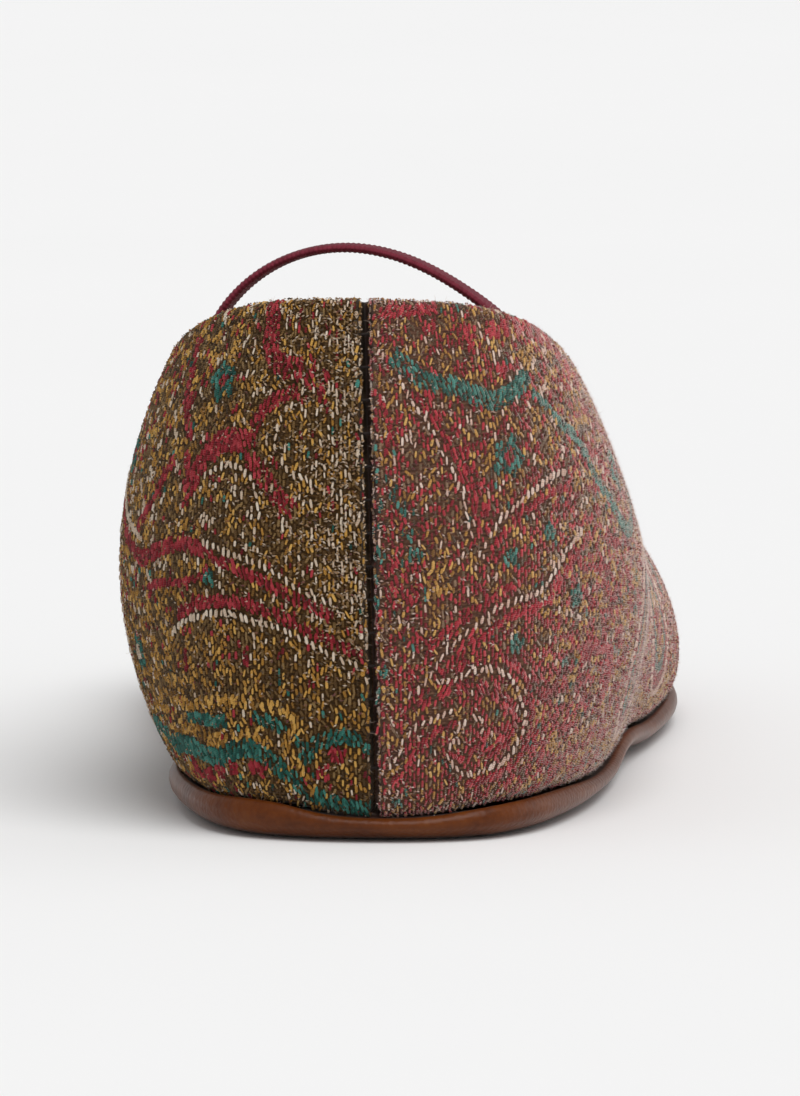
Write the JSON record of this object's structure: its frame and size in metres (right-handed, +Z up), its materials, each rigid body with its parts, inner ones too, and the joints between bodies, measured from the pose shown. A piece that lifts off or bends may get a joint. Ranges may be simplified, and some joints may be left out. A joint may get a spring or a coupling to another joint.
{
  "type": "baby ballet flat",
  "caption": "Baby's soft ballet flat, right shoe: woollen paisley cloth upper with an open back seam, elastic instep strap and a rolled brown leather sole.",
  "frame": {"origin": "on the floor under the middle of the shoe's box", "axes": "+Y from heel to toe, +X to the lateral side of the right foot, +Z up from the floor"},
  "size_m": [0.0478, 0.1158, 0.0467],
  "materials": {
    "outsole": "brown pebbled leather, satin",
    "upper": "woollen jacquard cloth, matt",
    "insole": "tan lining leather, matt",
    "strap": "burgundy woven elastic, matt"
  },
  "bodies": {
    "root": {"outsole": "outsole", "upper": "upper", "insole": "insole", "strap": "strap"}
  },
  "joints": []
}
